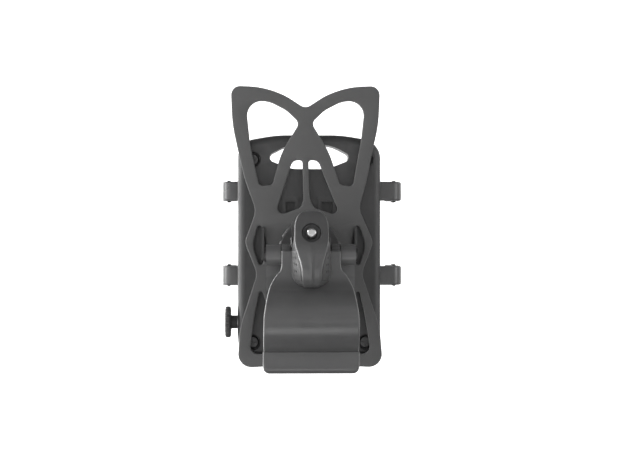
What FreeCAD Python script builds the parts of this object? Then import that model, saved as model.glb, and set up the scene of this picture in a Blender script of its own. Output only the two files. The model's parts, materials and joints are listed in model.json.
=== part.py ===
"""Phone handlebar mount: a two-lever bar clip, a clamped ball joint and a phone cradle with sliding side jaws.

Millimetres. The origin is on the handlebar's axis at the middle of the clip. X runs along the bar,
+Y points from the bar towards the phone, and +Z is up. The clip's mouth opens downwards.
"""
import FreeCAD, Part
import math
import os

os.makedirs("parts", exist_ok=True)
V = FreeCAD.Vector
X_AXIS = V(1, 0, 0)
Y_AXIS = V(0, 1, 0)

# ---- driving dimensions -------------------------------------------------------------------------
# handlebar clip
bar_r = 11.1            # 22.2 mm handlebar
bar_pad = 2.2           # rubber bar pad
jaw_wall = 2.3
jaw_half = 19.9         # half width of the rear jaw
neck_half = 12.45       # half width of the rear jaw's neck
pad_len_half = 16.3     # both bar pads along the bar
neck_back = -7.2        # outer face of the rear jaw's neck
neck_top = 28.5
jaw_angle = 58.0        # how far each jaw wraps above and below the bar's middle
rear_angle = 62.5       # how far the rear jaw wraps below the bar's middle
lip_depth = 5.1
lip_low = -23.1         # underside of the rear lip
front_lip_low = -19.5
lip_proud = 0.15        # step from a jaw's plate out to its lip
pin_z = 26.5            # hinge pin above the bar
pin_r = 1.5
knuckle_r = 4.2
knuckle_w = 6.2
lug_w = 3.85
running = 0.05          # radial clearance of a shaft or ball in its seat
side_gap = 0.2
pin_clip_t = 0.6
pin_clip_w = 1.5
pin_end = 0.9           # pin beyond each knuckle
spring_r = 2.2          # mean radius of the coils
spring_wire_r = 0.45
spring_turns = 4
spring_leg = 7.5
# levers
lever_rear_y = 5.6      # rear face of the front lever, where it leaves the jaw
lever_root_z = 31.0
lever_top_z = 43.5
lever_lean = 26.0       # degrees from upright
lever_t = 3.2
lever_half = 8.0
nose_half = 7.0
flank_half = 8.65
tongue_half = 3.5
nose_top = 45.0
nose_low = 13.5
nose_out = -18.0
# lock
rod_r = 2.5             # M5 rod
rod_face_y = -14.3      # where the rod's axis meets the sloping face of the finger lever
rod_z = 35.9
rod_tilt = 4.0
rod_hole_r = 4.05
rod_recess = 3.4
wheel_r = 6.4
wheel_knurls = 20
wheel_t = 4.0
wheel_at = 14.6         # along the rod, from the lever's face to the wheel's near side
foot_len = 1.6
foot_r = 3.4
hub_r = 3.3
lock_travel = 4.0       # how far the wheel runs back for the widest bar
# ball joint
ball_y = 24.2
ball_z = 28.0
ball_r = 6.0
seat_t = 1.0
neck_r = 3.0
stud_start = 8.8        # rear end of the ball's stud, in the front jaw
boss_end = 12.0         # front face of the front jaw's boss
boss_out_r = 7.0
collar_r = 5.0
collar_t = 1.2
seat_gap = 1.6          # between each half of the seat and the ball's middle
socket_r = 10.4
socket_rear = 20.4
flange_r = 14.5
flange_t = 2.2
flange_screws = 4
flange_screw_at = 12.4  # from the ball's axis to each flange screw
flange_screw_r = 0.9
flange_head_r = 1.6
flange_cover = 0.7      # skin left over each flange screw
mouth_r = 6.1
ring_r = 13.7
ring_rear = 18.9
ring_lip_r = 8.4
ring_grooves = 8
# cradle
tray_half = 32.0
tray_low = -20.0
tray_high = 79.5
tray_crown = 3.0        # how much the top edge rises from its corners to its middle
tray_corner = 9.0
tray_back_y = 32.0
tray_split_y = 41.8
tray_front_y = 44.0
tray_wall = 2.0
tray_skin = 2.2
tray_round = 3.4
lens_half = 19.2
lens_wall = 2.4
lens_low = 64.2
lens_high = 74.9
screw_x = 25.1
screw_high = 68.4
screw_low = -13.0
screw_head_r = 2.7
screw_shank_r = 1.5
recess_r = 3.6
recess_depth = 2.4
boss_r = 4.6
front_boss_r = 3.2
rib_x = 20.6
rib_t = 1.2
rib_low = 23.5
rib_high = 38.5
rib_y = 28.3
pad_half = 24.0
pad_low = -14.0
pad_high = 60.0
pad_t = 1.2
pocket_low = 42.0
pocket_high = 49.6
pocket_depth = 1.3
pocket_rim = 0.5
guide_block = 1.0       # thickness of the blocks that hold the guide rods
# silicone band
band_t = 2.4
band_gap = 0.3
# sliding jaws
slide_y0 = 36.9
slide_y1 = 41.5
hook_zs = (16.5, 54.5)
arm_h = 8.6
hook_t = 2.8
left_out = tray_half + 7.4      # outer face of the left hooks from the middle
right_out = tray_half + 10.0
hook_y0 = 37.0
hook_y1 = 56.5
hook_in = 6.0
hook_pad_t = 1.4
hook_pad_h = 9.8
plate_w = 11.0
plate_in = 8.0
drive_z = -4.3          # lead screw
drive_y = 38.0
drive_r = 2.5
journal_r = 2.95
bush_wall = 0.75
nut_r = 3.4
nut_len = 9.0
guide_r = 1.5
guide_zs = (6.5, 47.5)
knob_r = 7.0
knob_t = 2.6
knob_gap = 3.0          # length of the knob's hub outside the tray
stub_r = 1.8            # end of the lead screw inside the knob
knob_scallops = 16


# ---- helpers ------------------------------------------------------------------------------------
def box(x0, x1, y0, y1, z0, z1):
    """Block between two corners."""
    return Part.makeBox(x1 - x0, y1 - y0, z1 - z0, V(x0, y0, z0))


def ball(r, centre):
    """Solid sphere whose poles lie along Y, like every round piece of the ball joint."""
    return Part.makeSphere(r, centre, Y_AXIS)


def cyl(r, start, axis, length):
    """Solid cylinder from a point along an axis."""
    return Part.makeCylinder(r, length, start, axis)


def tube(r_in, r_out, start, axis, length):
    """Hollow cylinder."""
    return cyl(r_out, start, axis, length).cut(cyl(r_in, start, axis, length))


def fuse(shapes):
    """One solid from several that touch or overlap."""
    whole = shapes[0]
    for s in shapes[1:]:
        whole = whole.fuse(s)
    return whole.removeSplitter()


def outline(corners, place):
    """Closed wire through (u, v, radius) corners with rounded corners. place turns (u, v) into a point."""
    n = len(corners)
    ends = []
    for i in range(n):
        u, v, r = corners[i]
        here = V(u, v, 0)
        before = V(corners[i - 1][0], corners[i - 1][1], 0) - here
        after = V(corners[(i + 1) % n][0], corners[(i + 1) % n][1], 0) - here
        if r <= 0:
            ends.append((here, None, here))
            continue
        turn = before.getAngle(after)
        reach = r / math.tan(turn / 2)
        before.normalize()
        after.normalize()
        middle = before + after
        middle.normalize()
        centre = here + middle * (r / math.sin(turn / 2))
        ends.append((here + before * reach, centre - middle * r, here + after * reach))
    edges = []
    for i in range(n):
        first, mid, last = ends[i]
        if mid is not None:
            arc = Part.Arc(place(first.x, first.y), place(mid.x, mid.y), place(last.x, last.y))
            edges.append(arc.toShape())
        following = ends[(i + 1) % n][0]
        if (following - last).Length > 1e-6:
            edges.append(Part.makeLine(place(last.x, last.y), place(following.x, following.y)))
    return Part.Wire(edges)


def prism_y(corners, y0, y1):
    """Outline in X and Z, extruded along Y."""
    face = Part.Face(outline(corners, lambda u, v: V(u, y0, v)))
    return face.extrude(V(0, y1 - y0, 0))


def prism_x(corners, x0, x1):
    """Outline in Y and Z, extruded along X."""
    face = Part.Face(outline(corners, lambda u, v: V(x0, u, v)))
    return face.extrude(V(x1 - x0, 0, 0))


def prism_z(corners, z0, z1):
    """Outline in X and Y, extruded along Z."""
    face = Part.Face(outline(corners, lambda u, v: V(u, v, z0)))
    return face.extrude(V(0, 0, z1 - z0))


def mirrored(corners):
    """The same outline on the other side of X = 0."""
    return [(-u, v, r) for u, v, r in reversed(corners)]


def both_sides(shape):
    """A shape and its mirror image about X = 0."""
    return Part.Compound([shape, shape.mirror(V(0, 0, 0), X_AXIS)])


def sector(r_in, r_out, middle, spread, half, x_mid=0.0):
    """Bent plate around the bar's axis. middle and spread are degrees from +Y towards +Z."""
    a, b = math.radians(middle - spread), math.radians(middle + spread)
    m = math.radians(middle)

    def at(r, t):
        return V(x_mid - half, r * math.cos(t), r * math.sin(t))

    wire = Part.Wire([
        Part.Arc(at(r_out, a), at(r_out, m), at(r_out, b)).toShape(),
        Part.makeLine(at(r_out, b), at(r_in, b)),
        Part.Arc(at(r_in, b), at(r_in, m), at(r_in, a)).toShape(),
        Part.makeLine(at(r_in, a), at(r_out, a)),
    ])
    return Part.Face(wire).extrude(V(2 * half, 0, 0))


def edges_along(shape, axis, keep):
    """Straight edges parallel to an axis whose middle passes a test."""
    found = []
    for e in shape.Edges:
        if e.Curve.TypeId != "Part::GeomLine":
            continue
        d = e.tangentAt(e.FirstParameter)
        if abs(d.dot(axis)) > 0.999 and keep(e.CenterOfMass):
            found.append(e)
    return found


def save(shape, name):
    """Write one sub-part."""
    shape.exportStep("parts/" + name + ".step")


# ---- shared places ------------------------------------------------------------------------------
pad_out_r = bar_r + bar_pad
jaw_out_r = pad_out_r + jaw_wall
pin_at = V(0, 0, pin_z)
ball_at = V(0, ball_y, ball_z)
tilt = math.radians(rod_tilt)
rod_dir = V(0, math.cos(tilt), -math.sin(tilt))     # inwards, from the finger lever to the front lever
rod_face = V(0, rod_face_y, rod_z)
seat_in_r = ball_r + running
seat_out_r = seat_in_r + seat_t
socket_in_r = seat_out_r + running
knuckle_in = neck_half + side_gap
knuckle_out = knuckle_in + knuckle_w
front_jaw_half = knuckle_out


# ---- handlebar clip -----------------------------------------------------------------------------
def jaw_edge(r, angle):
    """Y and Z distances from the bar's axis to a point of a jaw."""
    return r * math.cos(math.radians(angle)), r * math.sin(math.radians(angle))


def lip(side, angle, half, low, corner, roll):
    """Bar along the lower edge of a jaw. side is -1 at the rear and 1 at the front."""
    out, top = jaw_edge(jaw_out_r, angle)
    far = side * (out + lip_proud)
    near = far - side * lip_depth
    body = box(-half, half, min(far, near), max(far, near), low, -top + 0.4)
    outer = edges_along(body, X_AXIS, lambda c: c.z < low + 0.1)
    body = body.makeFillet(roll, outer)
    shape = prism_y([(-half, low, corner), (half, low, corner), (half, 0, 0), (-half, 0, 0)], -20, 20)
    return body.common(shape).cut(cyl(pad_out_r, V(-30, 0, 0), X_AXIS, 60))


def make_rear_jaw():
    """Bulged jaw with its lip, neck and hinge lugs."""
    rim = jaw_edge(jaw_out_r, jaw_angle)
    inner = jaw_edge(pad_out_r, jaw_angle)
    neck_in = neck_back + jaw_wall
    neck = prism_x([
        (-rim[0], rim[1], 0), (-inner[0], inner[1], 0), (neck_in, 18.0, 4), (neck_in, neck_top, 0.8),
        (neck_back, neck_top, 1.0), (neck_back, 19.0, 8),
    ], -jaw_half, jaw_half)
    wrap = (jaw_angle + rear_angle) / 2
    plate = fuse([sector(pad_out_r, jaw_out_r, 180 + wrap - jaw_angle, wrap, jaw_half), neck])
    half_view = [(neck_half, neck_top + 2, 0), (neck_half, 21.5, 5), (17.6, 14.0, 7), (19.6, 4.0, 12),
                 (jaw_half, lip_low, 0)]
    view = [(-u, v, r) for u, v, r in reversed(half_view)] + half_view
    plate = plate.common(prism_y(view, -30, 10))
    lugs = []
    for side in (-1, 1):
        x0 = neck_half - lug_w if side > 0 else -neck_half
        lugs.append(cyl(knuckle_r, V(x0, 0, pin_z), X_AXIS, lug_w))
        lugs.append(box(x0, x0 + lug_w, neck_in - 0.5, 0, pin_z - knuckle_r, neck_top - 0.9))
    jaw = fuse([plate, lip(-1, rear_angle, jaw_half + 0.25, lip_low, 2.7, 2.4)] + lugs)
    return jaw.cut(cyl(pin_r + running, V(-30, 0, pin_z), X_AXIS, 60))


def lever_point(z, out):
    """Y of the front lever's rear face at a height, moved outwards by out."""
    return lever_rear_y + (z - lever_root_z) * math.tan(math.radians(lever_lean)) + out


def make_front_jaw():
    """Front jaw with its lip, hinge knuckles, ball boss and leaning lever."""
    rim = jaw_edge(jaw_out_r, jaw_angle)
    inner = jaw_edge(pad_out_r, jaw_angle)
    back = lever_rear_y + jaw_wall + 1.1
    plate = prism_x([
        rim + (0,), (back, 17.5, 3), (back, lever_root_z, 0), (lever_rear_y, lever_root_z, 0),
        (lever_rear_y, 17.0, 3), inner + (0,),
    ], -front_jaw_half, front_jaw_half)
    across = lever_t / math.cos(math.radians(lever_lean))
    lever = prism_x([
        (lever_rear_y, lever_root_z - 3, 0), (lever_point(lever_root_z, 0), lever_root_z, 0),
        (lever_point(lever_top_z, 0), lever_top_z, 1.2), (lever_point(lever_top_z, across), lever_top_z, 1.2),
        (lever_point(lever_root_z, across), lever_root_z, 0), (back, lever_root_z - 3, 0),
    ], -lever_half, lever_half)
    lever = lever.common(prism_y([(-lever_half, 20, 0), (lever_half, 20, 0), (lever_half, lever_top_z, 5),
                                  (-lever_half, lever_top_z, 5)], 0, 30))
    boss = cyl(boss_out_r, V(0, lever_rear_y + 1, ball_z), Y_AXIS, boss_end - lever_rear_y - 1)
    knuckles = []
    for side in (-1, 1):
        x0 = knuckle_in if side > 0 else -knuckle_out
        knuckles.append(cyl(knuckle_r, V(x0, 0, pin_z), X_AXIS, knuckle_w))
        knuckles.append(box(x0, x0 + knuckle_w, 0, back, pin_z - knuckle_r, pin_z + knuckle_r))
    jaw = fuse([sector(pad_out_r, jaw_out_r, 0, jaw_angle, front_jaw_half), plate, lever, boss,
                lip(1, jaw_angle, front_jaw_half, front_lip_low, 2.0, 1.9)] + knuckles)
    jaw = jaw.cut(cyl(knuckle_r + 0.35, V(-knuckle_in, 0, pin_z), X_AXIS, 2 * knuckle_in))
    jaw = jaw.cut(cyl(pin_r, V(-30, 0, pin_z), X_AXIS, 60))
    return jaw.cut(cyl(neck_r, V(0, stud_start, ball_z), Y_AXIS, 10))


def section(z, front, rear, half_front, half_rear):
    """Level section of the finger lever."""
    corner = min(1.4, half_front * 0.4)
    return outline([(-half_front, front, corner), (half_front, front, corner), (half_rear, rear, corner),
                    (-half_rear, rear, corner)], lambda u, v: V(u, v, z))


def make_finger_lever(jaw):
    """Nose-shaped lever: a sloping face with the rod's hole, broad flanks, and a tongue that curls under."""
    levels = [
        section(nose_low, -13.0, -8.0, 3.2, 4.0),
        section(16.0, -15.6, -7.6, tongue_half, 7.0),
        section(20.5, -17.5, -7.0, 3.7, flank_half),
        section(26.5, nose_out, -5.5, 5.4, flank_half),
        section(31.5, -16.7, -4.6, nose_half, 7.4),
        section(38.5, -13.3, -4.3, nose_half, 7.0),
        section(42.8, -11.0, -4.6, 6.0, 6.2),
        section(nose_top, -8.9, -5.6, 3.6, 3.8),
    ]
    nose = Part.makeLoft(levels, True, True)
    nose = nose.cut(cyl(rod_hole_r, rod_face - rod_dir * 6, rod_dir, 6 + rod_recess))
    nose = nose.cut(cyl(rod_r, rod_face - rod_dir * 2, rod_dir, 30))
    hub_room = wheel_at - 2 * lock_travel - side_gap
    nose = nose.cut(cyl(hub_r + 0.3, rod_face + rod_dir * hub_room, rod_dir, 30))
    nose = nose.cut(cyl(knuckle_r + 0.4, V(-30, 0, pin_z), X_AXIS, 60))
    hollow = box(-neck_half - 1, neck_half + 1, neck_back, 5, 5, neck_top)
    return nose.cut(hollow).cut(jaw)


def make_grip_inlays(nose):
    """Thin soft inlays on the lever's flanks, each with a slanting row of dimples."""
    inlays = []
    for side in (-1, 1):
        slab = prism_x([(-14.6, 16.5, 1), (-9.6, 16.0, 1), (-9.0, 27.5, 1.5), (-12.2, 28.5, 1.5)],
                       0, side * 12)
        if side < 0:
            slab = Part.Solid(slab)
        skin = nose.copy()
        skin.translate(V(side * 0.45, 0, 0))
        inlay = slab.common(skin).cut(nose)
        for k in range(3):
            at = V(side * 9.3, -12.9 + 1.2 * k, 24.5 - 2.8 * k)
            inlay = inlay.cut(ball(0.9, at))
        inlays.append(max(inlay.Solids, key=lambda s: s.Volume))
    return Part.Compound(inlays)


def make_pin():
    """Hinge pin across both jaws."""
    return cyl(pin_r, V(-knuckle_out - pin_end, 0, pin_z), X_AXIS, 2 * (knuckle_out + pin_end))


def make_pin_clips():
    """Retaining ring outside each knuckle."""
    ring = tube(pin_r, pin_r + pin_clip_w, V(knuckle_out, 0, pin_z), X_AXIS, pin_clip_t)
    return both_sides(ring)


def make_spring():
    """Two torsion coils on the pin, each with a leg on the finger lever and a leg on the front lever."""
    outer = neck_half - lug_w - side_gap
    length = spring_turns * spring_wire_r * 2.2
    x0 = outer - spring_wire_r - length
    helix = Part.makeHelix(length / spring_turns, length, spring_r)
    helix.rotate(V(0, 0, 0), Y_AXIS, 90)
    helix.translate(V(x0, 0, pin_z))
    start = helix.Edges[0].valueAt(helix.Edges[0].FirstParameter)
    heading = helix.Edges[0].tangentAt(helix.Edges[0].FirstParameter)
    profile = Part.Wire(Part.makeCircle(spring_wire_r, start, heading))
    turns = [Part.Wire(helix.Edges).makePipeShell([profile], True, True)]
    for x, y, far in ((x0, -spring_r, -3.6), (x0 + length, spring_r, lever_rear_y - 0.9)):
        root = V(x, y, pin_z)
        tip = V(x, far, pin_z + spring_leg)
        turns.append(cyl(spring_wire_r, root, tip - root, (tip - root).Length))
    return both_sides(Part.Compound(turns))


def make_bar_pad(middle):
    """Rubber lining of a jaw, with shallow grooves along the bar."""
    pad = sector(bar_r, pad_out_r, middle, jaw_angle - 3, pad_len_half)
    for k in (-1, 0, 1):
        a = math.radians(middle + 18 * k)
        at = V(-jaw_half, (bar_r - 0.15) * math.cos(a), (bar_r - 0.15) * math.sin(a))
        pad = pad.cut(cyl(0.5, at, X_AXIS, 2 * jaw_half))
    return pad


# ---- lock ---------------------------------------------------------------------------------------
def along_rod(s):
    """Point on the rod's axis, s mm inwards from the finger lever's face."""
    return rod_face + rod_dir * s


def make_rod():
    """Threaded rod fixed in the finger lever, with a chamfered end in the lever's hole."""
    start = 0.4
    body = cyl(rod_r, along_rod(start + 0.5), rod_dir, wheel_at - side_gap - start - 0.5)
    tip = Part.makeCone(rod_r - 0.5, rod_r, 0.5, along_rod(start), rod_dir)
    return fuse([body, tip])


def make_wheel():
    """Knurled thumbwheel on the rod, between the levers. Its hub runs back into the finger lever."""
    wheel = cyl(wheel_r, along_rod(wheel_at), rod_dir, wheel_t)
    for k in range(wheel_knurls):
        a = 2 * math.pi * k / wheel_knurls
        side = V(math.cos(a), math.sin(a) * math.sin(tilt), math.sin(a) * math.cos(tilt))
        at = along_rod(wheel_at) + side * (wheel_r + 0.35)
        wheel = wheel.cut(cyl(0.85, at - rod_dir, rod_dir, wheel_t + 2))
    wheel = wheel.fuse(cyl(hub_r, along_rod(wheel_at - lock_travel), rod_dir, lock_travel))
    bore = cyl(rod_r + running, along_rod(wheel_at - lock_travel - 1), rod_dir, 20)
    return wheel.cut(bore).removeSplitter()


def make_foot():
    """Domed thrust foot that the wheel pushes against the front lever."""
    start = wheel_at + wheel_t + side_gap
    foot = cyl(foot_r, along_rod(start), rod_dir, foot_len)
    rim = [e for e in foot.Edges if e.Curve.TypeId == "Part::GeomCircle"]
    far = max(rim, key=lambda e: e.Curve.Center.y)
    return foot.makeFillet(1.2, [far])


# ---- ball joint ---------------------------------------------------------------------------------
def make_ball_stud():
    """Steel ball on a stud that is pressed into the front jaw's boss."""
    shank = cyl(neck_r, V(0, stud_start, ball_z), Y_AXIS, ball_y - stud_start)
    collar = cyl(collar_r, V(0, boss_end, ball_z), Y_AXIS, collar_t)
    return fuse([shank, collar, ball(ball_r, ball_at)])


def make_seat(rear):
    """One half of the plastic seat that lines the socket."""
    shell = ball(seat_out_r, ball_at).cut(ball(seat_in_r, ball_at))
    if rear:
        keep = cyl(20, V(0, ball_y - 20, ball_z), Y_AXIS, 20 - seat_gap)
        way_start = V(0, ball_y - ball_r - 2.0, ball_z)
        way_out = Part.makeCone(neck_r + 3.3, neck_r + 1.5, ball_r - 0.4, way_start, Y_AXIS)
        return shell.common(keep).cut(way_out)
    return shell.common(cyl(20, V(0, ball_y + seat_gap, ball_z), Y_AXIS, 20))


def flange_screw_places():
    """X and Z of the screws around the socket's flange."""
    places = []
    for k in range(flange_screws):
        a = 2 * math.pi * k / flange_screws
        places.append((flange_screw_at * math.cos(a), ball_z + flange_screw_at * math.sin(a)))
    return places


def make_socket():
    """Split collet on the cradle's back, with a flange inside the back shell."""
    seat_floor = tray_back_y + tray_skin
    body = cyl(socket_r, V(0, socket_rear, ball_z), Y_AXIS, seat_floor - socket_rear)
    flange = cyl(flange_r, V(0, seat_floor, ball_z), Y_AXIS, flange_t)
    socket = fuse([body, flange]).cut(ball(socket_in_r, ball_at))
    mouth = cyl(mouth_r, V(0, socket_rear - 1, ball_z), Y_AXIS, 3.0)
    socket = socket.cut(mouth)
    for turn in (0, 90):
        slot = box(-socket_r - 1, socket_r + 1, socket_rear - 1, ball_y + 3.5, ball_z - 0.6, ball_z + 0.6)
        slot.rotate(ball_at, Y_AXIS, turn + 45)
        socket = socket.cut(slot)
    for x, z in flange_screw_places():
        socket = socket.cut(cyl(flange_screw_r, V(x, seat_floor - 1, z), Y_AXIS, flange_t + 2))
    return socket


def make_socket_screws():
    """Small screws that fix the socket's flange to the back shell."""
    screws = []
    for x, z in flange_screw_places():
        length = tray_skin - flange_cover + flange_t
        shank = cyl(flange_screw_r, V(x, tray_back_y + flange_cover, z), Y_AXIS, length)
        head = cyl(flange_head_r, V(x, tray_back_y + tray_skin + flange_t, z), Y_AXIS, 0.4)
        screws.append(fuse([shank, head]))
    return Part.Compound(screws)


def make_ring_nut():
    """Collar that closes the collet and traps the silicone band."""
    front = tray_back_y - band_t - band_gap
    ring = cyl(ring_r, V(0, ring_rear, ball_z), Y_AXIS, front - ring_rear)
    circles = [e for e in ring.Edges if e.Curve.TypeId == "Part::GeomCircle"]
    ring = ring.makeFillet(1.2, [min(circles, key=lambda e: e.Curve.Center.y)])
    ring = ring.cut(cyl(socket_r + running, V(0, socket_rear - 0.3, ball_z), Y_AXIS, 30))
    ring = ring.cut(cyl(ring_lip_r, V(0, ring_rear - 1, ball_z), Y_AXIS, 5))
    for k in range(ring_grooves):
        groove = cyl(1.5, V(ring_r + 0.7, ring_rear - 1, ball_z), Y_AXIS, 30)
        groove.rotate(ball_at, Y_AXIS, 360.0 * k / ring_grooves + 22.5)
        ring = ring.cut(groove)
    return ring


# ---- cradle shells ------------------------------------------------------------------------------
def tray_corners(inset):
    """Tray outline, with a slightly arched top."""
    side = tray_half - inset
    low = tray_low + inset
    high = tray_high - inset
    shoulder = high - tray_crown
    r = tray_corner - inset
    return [(-side, low, r), (side, low, r), (side, shoulder, r), (0.45 * side, high, 60.0),
            (-0.45 * side, high, 60.0), (-side, shoulder, r)]


def lens_hole(y0, y1):
    """Window through the tray: pointed ends, arched top, nearly flat bottom."""
    mid = (lens_low + lens_high) / 2
    low, high = 0.42 * lens_half, 0.5 * lens_half
    tip = lens_half + 1.4
    return prism_y([(-tip, mid - 0.4, 2.2), (-low, lens_low, 16), (low, lens_low, 16),
                    (tip, mid - 0.4, 2.2), (high, lens_high, 16), (-high, lens_high, 16)], y0, y1)


def screw_places():
    """Centres of the four case screws."""
    return [(sx * screw_x, z) for sx in (-1, 1) for z in (screw_low, screw_high)]


def pocket_frames():
    """Raised frames around the two pockets of the back shell."""
    frames = []
    for x0, x1 in ((-12.0, -4.9), (4.0, 11.9)):
        rim = box(x0, x1, tray_back_y - pocket_rim, tray_back_y, pocket_low - 1, pocket_high + 2.4)
        gap = box(x0 + 1.5, x1 - 1.5, tray_back_y - 1, tray_back_y, pocket_low - 2, pocket_high)
        frames.append(rim.cut(gap))
    return frames


def make_tray_back():
    """Rounded back shell with pockets, band ribs, screw recesses, arm slots and the drive's bearings."""
    shell = prism_y(tray_corners(0), tray_back_y, tray_split_y)
    rim = [e for e in shell.Edges if abs(e.CenterOfMass.y - tray_back_y) < 0.01]
    shell = shell.makeFillet(tray_round, rim)
    inside = tray_back_y + tray_skin
    shell = shell.cut(prism_y(tray_corners(tray_wall), inside, tray_split_y + 1))
    side, low, high = lens_half + lens_wall, lens_low - 1.8, lens_high + 1.8
    frame = [(-side, low, 5), (side, low, 5), (side, high, 5), (-side, high, 5)]
    wall = prism_y(frame, inside - 0.2, tray_split_y)
    parts = [shell, wall]
    for x, z in screw_places():
        parts.append(cyl(boss_r, V(x, inside - 0.2, z), Y_AXIS, 3.0))
    for side in (-1, 1):
        x = side * rib_x
        parts.append(prism_x([(rib_y, rib_low, 1.5), (rib_y, rib_high, 1.5), (tray_back_y + 0.5, rib_high, 0),
                              (tray_back_y + 0.5, rib_low, 0)], x - rib_t / 2, x + rib_t / 2))
    guide_out = tray_half - tray_wall
    for z in guide_zs:
        for x0 in (-guide_out, guide_out - guide_block):
            parts.append(box(x0, x0 + guide_block, inside - 0.2, slide_y1, z - 3, z + 3))
    shell = fuse(parts + pocket_frames())
    shell = shell.cut(lens_hole(tray_back_y - 5, tray_split_y + 5))
    shell = shell.cut(cyl(socket_r, V(0, tray_back_y - 1, ball_z), Y_AXIS, 4))
    for x, z in flange_screw_places():
        shell = shell.cut(cyl(flange_screw_r, V(x, tray_back_y + flange_cover, z), Y_AXIS, 4))
    for x, z in screw_places():
        shell = shell.cut(cyl(recess_r, V(x, tray_back_y - 1, z), Y_AXIS, 1 + recess_depth))
        shell = shell.cut(cyl(screw_shank_r + 0.1, V(x, tray_back_y, z), Y_AXIS, 8))
    for x0, x1 in ((-10.5, -6.4), (5.5, 10.4)):
        shell = shell.cut(box(x0, x1, tray_back_y - 1, tray_back_y + pocket_depth, pocket_low, pocket_high))
    for z in hook_zs:
        h = arm_h / 2 + side_gap
        way = box(-tray_half - 1, tray_half + 1, slide_y0 - side_gap, tray_split_y + 1, z - h, z + h)
        shell = shell.cut(way)
    for z in guide_zs:
        shell = shell.cut(cyl(guide_r, V(-guide_out, drive_y, z), X_AXIS, 2 * guide_out))
    bush_r = journal_r + running + bush_wall
    shell = shell.cut(cyl(bush_r, V(-tray_half - 1, drive_y, drive_z), X_AXIS, tray_wall + 1))
    return shell.cut(cyl(bush_r, V(guide_out - 0.01, drive_y, drive_z), X_AXIS, 1.2))


def make_tray_front():
    """Front plate that carries the phone, with screw bosses behind it."""
    plate = prism_y(tray_corners(0), tray_split_y, tray_front_y)
    rim = [e for e in plate.Edges if abs(e.CenterOfMass.y - tray_front_y) < 0.01]
    plate = plate.makeFillet(1.2, rim)
    start = tray_back_y + tray_skin + 2.8
    parts = [plate]
    for x, z in screw_places():
        parts.append(cyl(front_boss_r, V(x, start, z), Y_AXIS, tray_split_y - start + 0.2))
    plate = fuse(parts).cut(lens_hole(tray_split_y - 1, tray_front_y + 1))
    for x, z in screw_places():
        plate = plate.cut(cyl(screw_shank_r, V(x, start - 1, z), Y_AXIS, 7.5))
    return plate


def make_case_screws():
    """Cross-head screws that join the shells."""
    screws = []
    seat = tray_back_y + recess_depth
    for x, z in screw_places():
        head = cyl(screw_head_r, V(x, seat - 1.5, z), Y_AXIS, 1.5)
        rim = [e for e in head.Edges if e.Curve.TypeId == "Part::GeomCircle" and e.Curve.Center.y < seat - 1]
        head = head.makeFillet(0.7, rim)
        shank = cyl(screw_shank_r, V(x, seat, z), Y_AXIS, 6.6)
        screw = fuse([head, shank])
        for w, h in ((1.9, 0.35), (0.35, 1.9)):
            screw = screw.cut(box(x - w, x + w, seat - 2, seat - 0.6, z - h, z + h))
        screws.append(screw)
    return Part.Compound(screws)


def make_phone_pad():
    """Soft sheet on the front plate, below the window."""
    corners = [(-pad_half, pad_low, 5), (pad_half, pad_low, 5), (pad_half, pad_high, 5),
               (-pad_half, pad_high, 5)]
    return prism_y(corners, tray_front_y, tray_front_y + pad_t)


# ---- silicone band ------------------------------------------------------------------------------
def make_band(shell):
    """Flat X-shaped band with two pointed loops above and two below the ball joint."""
    half = [(0, 90.9, 4), (9.0, 96.8, 30), (19.0, 100.6, 40), (33.2, 101.1, 4.0), (32.5, 84.0, 60),
            (27.0, 59.0, 40), (22.9, 46.0, 9), (28.6, 31.6, 6), (23.2, 17.6, 8), (31.0, -6.0, 40),
            (32.4, -24.2, 5.8), (18.0, -23.6, 30), (0, -17.0, 8)]
    view = half + [(-u, v, r) for u, v, r in reversed(half[1:-1])]
    band = prism_y(view, tray_back_y - band_t, tray_back_y)
    upper = [(2.6, 84.6, 3.0), (8.5, 90.2, 12), (16.0, 94.1, 14), (26.7, 94.9, 6.5), (24.7, 76.0, 40),
             (20.8, 56.4, 2.0), (15.0, 57.0, 2.0), (10.6, 71.6, 40)]
    middle = [(1.35, 68.0, 1.2), (5.6, 68.0, 3.0), (14.9, 42.6, 2.4), (2.9, 46.9, 3.0), (1.35, 51.0, 6)]
    slot = [(21.7, 41.5, 1.0), (25.2, 30.2, 10), (21.4, 19.0, 1.0), (18.6, 30.5, 10)]
    lower = [(21.6, 12.4, 0.9), (24.7, -2.0, 20), (27.0, -18.2, 3.4), (14.0, -18.0, 3.0), (9.0, -12.5, 3),
             (19.2, 4.0, 20)]
    for hole in (upper, middle, slot, lower):
        for corners in (hole, mirrored(hole)):
            band = band.cut(prism_y(corners, tray_back_y - 10, tray_back_y + 10))
    band = band.cut(cyl(socket_r + 0.2, V(0, tray_back_y - 10, ball_z), Y_AXIS, 20))
    return band.cut(shell)


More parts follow.
